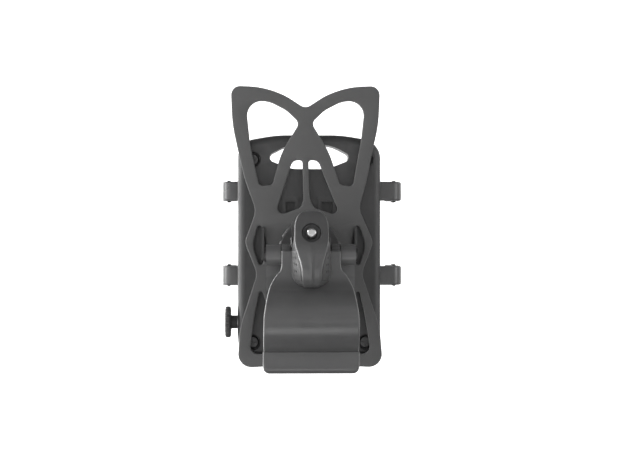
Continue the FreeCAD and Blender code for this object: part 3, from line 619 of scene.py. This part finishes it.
def make_inlays():
    """Soft inlays on the flanks, each with three pairs of dimples."""
    bm = bmesh.new()
    z0, z1, t0, t1 = 15.8, 28.2, 0.12, 0.8
    nz, nt = 64, 30
    for side in (-1, 1):
        top, under = [], []
        for i in range(nz + 1):
            row, base = [], []
            for k in range(nt + 1):
                z, t = z0 + (z1 - z0) * i / nz, t0 + (t1 - t0) * k / nt
                edge = min(i, nz - i) / 4.0, min(k, nt - k) / 3.0
                rise = 0.32 * min(1.0, *edge) ** 0.5
                for m in range(3):
                    for n in range(2):
                        cz, ct = 25.6 - 2.9 * m, 0.36 + 0.16 * n + 0.05 * m
                        away = math.hypot(z - cz, (t - ct) * 10.5)
                        rise -= 0.42 * max(0.0, 1 - (away / 0.62) ** 2)
                row.append(bm.verts.new(flank_point(side, z, t, rise)))
                base.append(bm.verts.new(flank_point(side, z, t, -0.6)))
            top.append(row)
            under.append(base)
        for i in range(nz):
            for k in range(nt):
                bm.faces.new((top[i][k], top[i][k + 1], top[i + 1][k + 1], top[i + 1][k]))
                bm.faces.new((under[i][k], under[i + 1][k], under[i + 1][k + 1], under[i][k + 1]))
        border = ([(i, 0) for i in range(nz)] + [(nz, k) for k in range(nt)]
                  + [(i, nt) for i in range(nz, 0, -1)] + [(0, k) for k in range(nt, 0, -1)])
        for (i, k), (m, n) in zip(border, border[1:] + border[:1]):
            bm.faces.new((top[i][k], top[m][n], under[m][n], under[i][k]))
    return add_object("grip_inlay_skins", bm, 50)


def make_rod():
    """Threaded rod with a tapered, domed end in the lever's hole."""
    bm = bmesh.new()
    pitch, depth, count = 0.8, 0.42, 48
    start, end = 0.3, 14.2
    u = Vector((1, 0, 0))
    v = rod_dir.cross(u)
    steps = int((end - start) / 0.1)
    loops = []
    for i in range(steps + 1):
        s = start + (end - start) * i / steps
        limit = min(2.5, 1.15 + 1.25 * math.sqrt(max(0.0, s - start) / 1.1))
        ring = []
        for k in range(count):
            a = 2 * math.pi * k / count
            phase = (s / pitch - k / count) % 1.0
            crest = 2.48 - depth * abs(2 * phase - 1) ** 0.8
            ring.append(bm.verts.new(rod_face + rod_dir * s
                                     + (u * math.cos(a) + v * math.sin(a)) * min(crest, limit)))
        loops.append(ring)
    skin(bm, loops)
    return add_object("lock_rod_thread", bm, 50)


def make_bar_pads():
    """Rubber linings of the two jaws, with ribs along the bar and rounded ends."""
    reach = 54.8                     # half the pad's angle round the bar, in degrees
    groove_depth = 0.42
    steps = 96
    angles = [-reach + 2 * reach * k / steps for k in range(steps + 1)]
    pads = {}
    for name, node, middle in (("rear", "rear_pad", 180.0), ("front", "front_pad", 0.0)):
        half = high(node).x
        bm = bmesh.new()
        profile = []
        for a in angles:
            groove = sum(max(0.0, 1 - abs(a - c) / 2.2) for c in range(-48, 49, 8))
            fade = min(1.0, (reach - abs(a)) / 2.0 + 0.3)
            face_r = pad_out_r - (pad_out_r - bar_r - 0.03) * fade
            profile.append((a, face_r + groove_depth * min(groove, 1.0)))
        profile += [(a, pad_out_r - 0.02) for a in reversed(angles)]
        loops = []
        for x, inset in ((-half, 0.5), (-half + 0.2, 0.15), (-half + 0.6, 0), (0, 0), (half - 0.6, 0),
                         (half - 0.2, 0.15), (half, 0.5)):
            ring = []
            for i, (a, r) in enumerate(profile):
                a = math.radians(middle + a)
                r = r + inset if i <= steps else r
                ring.append(bm.verts.new((x, r * math.cos(a), r * math.sin(a))))
            loops.append(ring)
        skin(bm, loops)
        pads[name] = add_object(name + "_bar_pad", bm, 40)
    return pads


def make_ball_stud():
    """Polished ball on its turned stud."""
    bm = bmesh.new()
    r = high("ball_stud").x
    root = low("ball_stud").y - ball.y
    profile = [(root, 2.7), (root + 0.3, 3.0), (-12.3, 3.0), (-12.2, 4.6), (-12.0, 5.0), (-11.2, 5.0),
               (-11.0, 4.7), (-10.9, 3.1)]
    start = math.asin(2.7 / r)
    profile += [(-r * math.cos(start) - 0.9, 3.0), (-r * math.cos(start) - 0.3, 2.72)]
    for k in range(33):
        a = start + (math.pi - start) * k / 32
        profile.append((-r * math.cos(a), r * math.sin(a)))
    lathe(bm, profile, ball, (0, 1, 0), 72)
    return add_object("ball_and_stud", bm, 30)


def make_spring():
    """Two torsion coils on the hinge pin, each with a leg on either lever."""
    bm = bmesh.new()
    wire_r, radius, turns, around = 0.44, 2.2, 4, 10
    leg_foot, leg_top = pin.z + 1.6, pin.z + 7.2
    outer = high("jaw_spring").x - wire_r
    inner = outer - 3.96
    steps = turns * 24 + 12
    for side in (-1, 1):
        # the front leg leans outwards, clear of the lock wheel when the jaw opens
        path = [Vector((outer - 0.6, -3.4, leg_top)), Vector((inner, -radius - 0.3, leg_foot))]
        for k in range(steps + 1):
            a = math.radians(180 + 15 * k)
            x = inner + (outer - inner) * k / steps
            path.append(Vector((x, radius * math.cos(a), pin.z - radius * math.sin(a))))
        path += [Vector((outer, radius + 0.3, leg_foot)), Vector((outer, 4.5, leg_top))]
        loops = []
        for i, at in enumerate(path):
            t = (path[min(i + 1, len(path) - 1)] - path[max(i - 1, 0)]).normalized()
            u = t.cross(Vector((1, 0, 0)) if abs(t.x) < 0.9 else Vector((0, 0, 1))).normalized()
            v = t.cross(u)
            ring = []
            for m in range(around):
                a = 2 * math.pi * m / around
                c = at + (u * math.cos(a) + v * math.sin(a)) * wire_r
                ring.append(bm.verts.new((side * c.x, c.y, c.z)))
            loops.append(ring)
        skin(bm, loops)
    return add_object("clip_spring", bm, 60)


# ---- cradle pieces ------------------------------------------------------------------------------
HOOK_ZS = (16.5, 54.5)               # heights of the lower and upper hooks
hook_half = 4.3                      # half the height of a hook


def hook_path(out, inward, y0, y1, x_start):
    """Middle line of a hook in plan: out of the tray, round the bend, along the phone's edge and back in."""
    bend, curl, steps = 3.6, 3.4, 8
    points = [(x_start, y0), (out - 5.4, y0)]
    for k in range(1, steps + 1):
        a = math.radians(-90 + 90 * k / steps)
        points.append((out - bend + bend * math.cos(a), y0 + bend + bend * math.sin(a)))
    points += [(out, y0 + 7.0), (out, y1 - 6.5)]
    for k in range(steps + 1):
        a = math.radians(90 * k / steps)
        points.append((out - curl + curl * math.cos(a), y1 - curl + curl * math.sin(a)))
    points.append((out - inward, y1 + 0.1))
    return points


def make_side_jaw(side):
    """Sliding jaw: the plate inside the tray and two curled hooks with rounded edges."""
    node = "left_jaw" if side < 0 else "right_jaw"
    out = max(abs(low(node).x), abs(high(node).x))
    thick = 2.8
    y0, y1 = 37.0 + thick / 2, high(node).y - thick / 2
    bm = bmesh.new()
    for z in HOOK_ZS:
        path = [(side * x, y, z) for x, y in hook_path(out - thick / 2, 4.6, y0, y1, 18.0)]
        bar_along(bm, path, (0, 0, 1), hook_half, thick / 2, 0.9, steps=5, caps=4)
        bar_along(bm, [(side * 10, 39.6, z), (side * 31.0, 39.6, z)], (0, 0, 1), hook_half, 1.6, 0.4)
    plate = [(side * 13.5, 39.2, z) for z in (low(node).z + 0.5, high(node).z - 0.5)]
    bar_along(bm, plate, (1, 0, 0), 5.4, 2.2, 0.5)
    return add_object("side_jaw_" + ("left" if side < 0 else "right"), bm, 35)


def make_hook_pads(side):
    """Soft linings inside the hooks, a little taller than them, with fine ribs."""
    node = "left_hook_pads" if side < 0 else "right_hook_pads"
    face = min(abs(low(node).x), abs(high(node).x))
    back = max(abs(low(node).x), abs(high(node).x)) + 0.25
    near, far = 42.0, 52.0
    half = (high(node).z - low(node).z - HOOK_ZS[1] + HOOK_ZS[0]) / 2
    rows, rib_pitch, rib_height = 46, 1.5, 0.16
    bm = bmesh.new()
    for z in HOOK_ZS:
        loops = []
        for k in range(rows + 1):
            zz = z - half + 2 * half * k / rows
            end = min(1.0, (half - abs(zz - z)) / 0.6)
            inset = 0.5 * (1 - math.sqrt(max(0.0, 1 - (1 - end) ** 2)))
            rib = rib_height * (0.5 + 0.5 * math.cos(2 * math.pi * (zz - z) / rib_pitch))
            corners = [(face + rib + inset, near + inset, 0.5), (back, near + inset, 0.3),
                       (back, far - inset, 0.3), (face + rib + inset, far - inset, 0.5)]
            loops.append([bm.verts.new((side * u, v, zz)) for u, v in soft_corners(corners, 4)])
        skin(bm, loops)
    return add_object("hook_linings_" + ("left" if side < 0 else "right"), bm, 40)


def make_knob():
    """Scalloped knob with a dished outer face and a hub on its inner one."""
    thick, knob_r, teeth, tooth_depth, around = 2.6, 6.98, 16, 0.72, 192
    x0, x1 = low("side_knob").x, low("side_knob").x + thick
    stations = [(x1, 0.30), (x1, 0.86), (x1 - 0.12, 0.93), (x1 - 0.45, 0.985), (x1 - 0.8, 1.0),
                (x0 + 0.8, 1.0), (x0 + 0.45, 0.985), (x0 + 0.12, 0.93), (x0, 0.86), (x0, 0.66),
                (x0 + 0.45, 0.60), (x0 + 0.5, 0.25)]
    bm = bmesh.new()
    loops = []
    for x, scale in stations:
        ring = []
        for k in range(around):
            a = 2 * math.pi * k / around
            wave = 0.5 + 0.5 * math.cos(teeth * a)
            depth = tooth_depth * (1 - wave) ** 1.6 * max(0.0, (scale - 0.6) / 0.4)
            r = knob_r * scale - depth
            ring.append(bm.verts.new((x, drive.y + r * math.cos(a), drive.z + r * math.sin(a))))
        loops.append(ring)
    skin(bm, loops)
    hub = [(-0.1, 3.4), (0.15, 3.05), (0.5, 2.93), (2.7, 2.93), (2.98, 2.7)]
    lathe(bm, hub, (x1, drive.y, drive.z), (1, 0, 0), 48)
    return add_object("scalloped_knob", bm, 40)


def make_phone_pad():
    """Soft sheet under the phone, with a rolled edge and a field of low studs."""
    x0, x1 = low("phone_pad").x, high("phone_pad").x
    z0, z1 = low("phone_pad").z, high("phone_pad").z
    y0, y1 = low("phone_pad").y, high("phone_pad").y
    bm = bmesh.new()
    loops = []
    outline = rounded_outline([(x0, z0, 5), (x1, z0, 5), (x1, z1, 5), (x0, z1, 5)], 0.5)
    mid_x, mid_z = (x0 + x1) / 2, (z0 + z1) / 2
    for y, inset in ((y0, 0.0), (y1 - 0.45, 0.0), (y1 - 0.2, 0.12), (y1 - 0.1, 0.4), (y1 - 0.1, 1.0)):
        scale = 1 - inset / (x1 - x0) * 2
        loops.append([bm.verts.new((mid_x + (p.x - mid_x) * scale, y, mid_z + (p.y - mid_z) * scale))
                      for p in outline])
    skin(bm, loops)
    pitch = 4.0
    columns, rows = int((x1 - x0 - 5) / pitch), int((z1 - z0 - 5) / pitch)
    for i in range(columns + 1):
        for k in range(rows + 1):
            x = mid_x + (i - columns / 2) * pitch + (0.5 * pitch if k % 2 else 0.0)
            z = mid_z + (k - rows / 2) * pitch
            if abs(x - mid_x) < (x1 - x0) / 2 - 2.6:
                lathe(bm, [(0, 1.0), (0.1, 0.98), (0.16, 0.7)], (x, y1 - 0.16, z), (0, 1, 0), 14)
    return add_object("phone_pad_sheet", bm, 40)


# ---- make and place -----------------------------------------------------------------------------
def place(obj, body, material, slot, *replaced):
    """Paints a piece, puts it on its body and hides the CAD nodes that it stands for."""
    paint(obj, material)
    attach(obj, body)
    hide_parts(*replaced)


place(make_band(), "cradle", "band", "silicone", "band")
place(make_rear_jaw(), "rear_jaw", "jaw", "jaw_plastic", "rear_jaw")
place(make_finger_lever(), "rear_jaw", "lever", "jaw_plastic", "finger_lever")
place(make_inlays(), "rear_jaw", "inlay", "soft_rubber", "grip_inlays")
place(make_rod(), "rear_jaw", "rod", "steel", "lock_rod")
bar_pads = make_bar_pads()
place(bar_pads["rear"], "rear_jaw", "pad", "soft_rubber", "rear_pad")
place(bar_pads["front"], "clip_base", "pad", "soft_rubber", "front_pad")
place(make_ball_stud(), "clip_base", "ball", "polished_steel", "ball_stud")
place(make_side_jaw(-1), "left_slider", "hook", "moulded_nylon", "left_jaw")
place(make_side_jaw(1), "right_slider", "hook", "moulded_nylon", "right_jaw")
place(make_hook_pads(-1), "left_slider", "pad", "soft_rubber", "left_hook_pads")
place(make_hook_pads(1), "right_slider", "pad", "soft_rubber", "right_hook_pads")
place(make_knob(), "drive", "knob", "moulded_nylon", "side_knob")
place(make_phone_pad(), "cradle", "pad", "soft_rubber", "phone_pad")

spring = paint(make_spring(), "dark")
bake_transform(spring)
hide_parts("jaw_spring")

# CAD nodes shown as they are, and their materials
KEPT = {
    "front_jaw": "jaw", "hinge_pin": "dark", "pin_clips": "dark", "lock_wheel": "knob", "lock_foot": "acetal",
    "seat_rear": "acetal", "seat_front": "acetal", "ball_socket": "shell", "socket_screws": "dark",
    "ring_nut": "shell", "tray_back": "shell", "tray_front": "shell", "case_screws": "dark",
    "screw_bushes": "acetal", "guide_rods": "steel", "lead_screw": "steel", "left_nut": "brass",
    "right_nut": "brass",
}
for node, material in KEPT.items():
    paint(nodes[node], material)
    shade(nodes[node], 28)


# ---- stage --------------------------------------------------------------------------------------
def make_floor():
    """Round floor that turns up into a backdrop: grey near by, white far off, glowing behind the object."""
    bm = bmesh.new()
    level, bend, height = -300, 500, 1500
    profile = [(0, level), (600, level)]
    profile += [(1300 + bend * math.sin(math.radians(a)), level + bend - bend * math.cos(math.radians(a)))
                for a in range(0, 91, 10)]
    profile += [(1300 + bend, height)]
    around = 72
    rows = [[bm.verts.new((r * math.cos(2 * math.pi * k / around), r * math.sin(2 * math.pi * k / around), z))
             for k in range(around)] for r, z in profile[1:]]
    bm.faces.new(rows[0])
    for low_row, high_row in zip(rows, rows[1:]):
        for k in range(around):
            m = (k + 1) % around
            bm.faces.new((low_row[k], low_row[m], high_row[m], high_row[k]))
    floor = add_object("studio_floor", bm, 60)
    mat, tree, shader, coords = new_material("studio_white")
    parts = tree.nodes.new("ShaderNodeSeparateXYZ")
    tree.links.new(coords, parts.inputs["Vector"])
    length = tree.nodes.new("ShaderNodeVectorMath")
    length.operation = "LENGTH"
    tree.links.new(coords, length.inputs[0])
    far = spread(tree, length.outputs["Value"], 0.0, 1.0, 1.0, 1.7)
    grain = ramp(tree, noise(tree, coords, 220.0, 2.0), [(0.3, 0.12), (0.7, 0.13)])
    tree.links.new(mix(tree, far, grain, (0.86, 0.86, 0.86)), shader.inputs["Base Color"])
    shader.inputs["Roughness"].default_value = 0.9
    shader.inputs["Emission Color"].default_value = (1, 1, 1, 1)
    tree.links.new(spread(tree, parts.outputs["Y"], 0.1, 1.0, 0.3, 1.3), shader.inputs["Emission Strength"])
    floor.data.materials.append(mat)


def area_light(name, at, target, size, power):
    """Soft light, with its place, target and size in millimetres."""
    data = bpy.data.lights.new(name, "AREA")
    data.shape = "RECTANGLE"
    data.size, data.size_y = size[0] * MM, size[1] * MM
    data.energy = power
    light = bpy.data.objects.new(name, data)
    light.location = Vector(at) * MM
    light.rotation_euler = (Vector(target) - Vector(at)).to_track_quat("-Z", "Y").to_euler()
    bpy.context.scene.collection.objects.link(light)


def make_camera():
    """Camera behind the bar, level with the lever's hole, about 600 mm from the tray."""
    data = bpy.data.cameras.new("camera")
    data.sensor_width = 36.0
    data.lens = 77.654
    data.clip_start, data.clip_end = 0.05, 20.0
    camera = bpy.data.objects.new("camera", data)
    camera.location = Vector((-13.0, tray_y - 600.0, 37.0)) * MM
    camera.rotation_euler = (math.radians(90), 0, math.radians(-1.36))
    bpy.context.scene.collection.objects.link(camera)
    bpy.context.scene.camera = camera


make_floor()
make_camera()
area_light("key_left", (-430, -340, 90), (0, 0, 35), (420, 620), 0.75)
area_light("side_left", (-470, -40, 40), (-30, 35, 35), (170, 620), 2.1)
area_light("rim_left", (-330, 260, 60), (-30, 30, 35), (220, 600), 2.6)
area_light("front_low", (-60, -540, -90), (0, -10, 0), (620, 120), 0.12)
area_light("strip_low", (-40, -330, -250), (0, -10, 0), (460, 110), 0.34)
area_light("strip_right", (430, -190, 40), (20, 10, 30), (70, 560), 0.6)

world = bpy.data.worlds.new("studio")
world.use_nodes = True
world.node_tree.nodes["Background"].inputs["Color"].default_value = (1, 1, 1, 1)
world.node_tree.nodes["Background"].inputs["Strength"].default_value = 0.16
bpy.context.scene.world = world
bpy.context.scene.view_settings.view_transform = "Standard"
